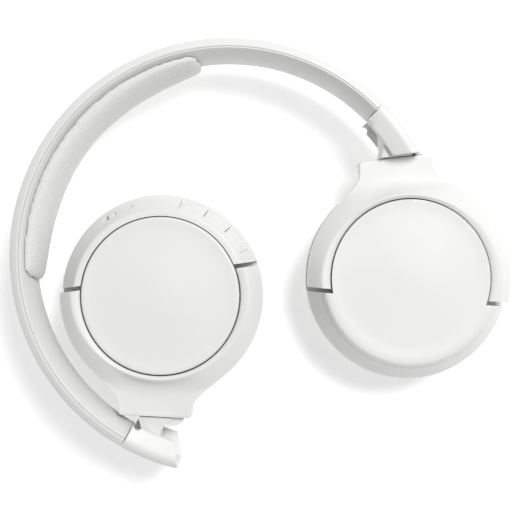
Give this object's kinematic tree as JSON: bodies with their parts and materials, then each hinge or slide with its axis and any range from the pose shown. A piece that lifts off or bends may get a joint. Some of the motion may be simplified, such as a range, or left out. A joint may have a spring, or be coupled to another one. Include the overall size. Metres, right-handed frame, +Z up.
{
  "type": "foldable headphones",
  "caption": "White foldable on-ear wireless headphones lying flat, one cup open and the other folded inside the headband.",
  "frame": {"origin": "middle of the footprint, on the surface that the ear pads lie on", "axes": "+Z up out of the outer faces of the cups, +X from the folded right cup to the open left cup, +Y towards the open end of the left hinge"},
  "size_m": [0.1852, 0.1574, 0.0395],
  "materials": {
    "white_gloss_abs": "smooth moulded, semi-gloss",
    "white_satin_abs": "fine satin moulding",
    "white_leatherette": "soft grained, matte",
    "black_plastic": "matte moulded",
    "spring_steel": "satin",
    "magnet_cup": "plated",
    "speaker_film": "thin film",
    "circuit_board": "solder mask",
    "battery_foil": "foil pouch",
    "wire_sleeve": "matte",
    "light_lens": "clear lens"
  },
  "bodies": {
    "band": {"headband_outer_shell": "white_gloss_abs", "headband_inner_shell": "white_satin_abs", "headband_cushion": "white_leatherette", "headband_spring": "spring_steel", "headband_cable": "wire_sleeve", "left_detent_spring": "spring_steel", "right_detent_spring": "spring_steel"},
    "left_slide": {"left_slider_strip": "spring_steel", "left_hinge_housing": "white_gloss_abs", "left_fold_pin": "spring_steel"},
    "left_hinge": {"left_knuckle": "white_gloss_abs", "left_swivel_clip": "spring_steel"},
    "left_arm": {"left_yoke": "white_gloss_abs", "left_yoke_cover": "white_satin_abs", "left_swivel_post": "spring_steel", "left_tilt_pin_a": "white_gloss_abs", "left_tilt_pin_b": "white_gloss_abs"},
    "left_cup": {"left_cup_housing": "white_gloss_abs", "left_cup_cover": "white_gloss_abs", "left_inner_frame": "black_plastic", "left_baffle": "black_plastic", "left_driver_grille": "black_plastic", "left_driver_basket": "black_plastic", "left_driver_magnet": "magnet_cup", "left_diaphragm": "speaker_film", "left_pad_plate": "black_plastic", "left_ear_pad": "white_leatherette", "left_battery": "battery_foil"},
    "right_slide": {"right_slider_strip": "spring_steel", "right_hinge_housing": "white_gloss_abs", "right_fold_pin": "spring_steel"},
    "right_hinge": {"right_knuckle": "white_gloss_abs", "right_swivel_clip": "spring_steel"},
    "right_arm": {"right_yoke": "white_gloss_abs", "right_yoke_cover": "white_satin_abs", "right_swivel_post": "spring_steel", "right_tilt_pin_a": "white_gloss_abs", "right_tilt_pin_b": "white_gloss_abs"},
    "right_cup": {"right_cup_housing": "white_gloss_abs", "right_cup_cover": "white_gloss_abs", "right_inner_frame": "black_plastic", "right_baffle": "black_plastic", "right_driver_grille": "black_plastic", "right_driver_basket": "black_plastic", "right_driver_magnet": "magnet_cup", "right_diaphragm": "speaker_film", "right_pad_plate": "black_plastic", "right_ear_pad": "white_leatherette", "main_board": "circuit_board", "usb_socket": "spring_steel", "microphone": "black_plastic", "status_light": "light_lens"},
    "power_switch": {"power_switch_knob": "white_satin_abs"},
    "volume_down_key": {"volume_down_button": "white_gloss_abs"},
    "multifunction_key": {"multifunction_button": "white_gloss_abs"},
    "volume_up_key": {"volume_up_button": "white_gloss_abs"}
  },
  "joints": [
    {"name": "left_slider_travel", "type": "hinge", "parent": "band", "child": "left_slide", "pos_m": [-0.0126, -0.00122, 0.026], "axis": [0, 0, -1], "range_deg": [0, 16]},
    {"name": "left_fold", "type": "hinge", "parent": "left_slide", "child": "left_hinge", "pos_m": [0.04698, 0.045, 0.026], "axis": [0, 0, 1], "range_deg": [-15, 0]},
    {"name": "left_swivel", "type": "hinge", "parent": "left_hinge", "child": "left_arm", "pos_m": [0.0546, -0.00949, 0.026], "axis": [-0.1149, 0.9934, 0], "range_deg": [0, 90]},
    {"name": "left_tilt", "type": "hinge", "parent": "left_arm", "child": "left_cup", "pos_m": [0.05442, -0.01178, 0.0315], "axis": [0.9971, -0.0767, 0], "range_deg": [-7, 7]},
    {"name": "right_slider_travel", "type": "hinge", "parent": "band", "child": "right_slide", "pos_m": [-0.0126, -0.00122, 0.026], "axis": [0, 0, 1], "range_deg": [0, 16]},
    {"name": "right_fold", "type": "hinge", "parent": "right_slide", "child": "right_hinge", "pos_m": [-0.04181, -0.07072, 0.026], "axis": [0, 0, -1], "range_deg": [0, 16]},
    {"name": "right_swivel", "type": "hinge", "parent": "right_hinge", "child": "right_arm", "pos_m": [-0.03764, -0.01587, 0.026], "axis": [0.0523, 0.9986, 0], "range_deg": [0, 90]},
    {"name": "right_tilt", "type": "hinge", "parent": "right_arm", "child": "right_cup", "pos_m": [-0.03796, -0.01359, 0.0315], "axis": [0.9903, 0.1392, 0], "range_deg": [-7, 7]},
    {"name": "volume_down_press", "type": "slide", "parent": "right_cup", "child": "volume_down_key", "axis": [-0.703, -0.5202, -0.485], "range_m": [0, 0.0006], "stiffness_N_per_m": 1000, "springref_m": -0.0004},
    {"name": "multifunction_press", "type": "slide", "parent": "right_cup", "child": "multifunction_key", "axis": [-0.5251, -0.6993, -0.485], "range_m": [0, 0.0006], "stiffness_N_per_m": 1000, "springref_m": -0.0004},
    {"name": "volume_up_press", "type": "slide", "parent": "right_cup", "child": "volume_up_key", "axis": [-0.3034, -0.8202, -0.485], "range_m": [0, 0.0006], "stiffness_N_per_m": 1000, "springref_m": -0.0004},
    {"name": "power_switch_slide", "type": "hinge", "parent": "right_cup", "child": "power_switch", "pos_m": [-0.03764, -0.01587, 0.031], "axis": [0, 0, 1], "range_deg": [0, 4.1]}
  ]
}
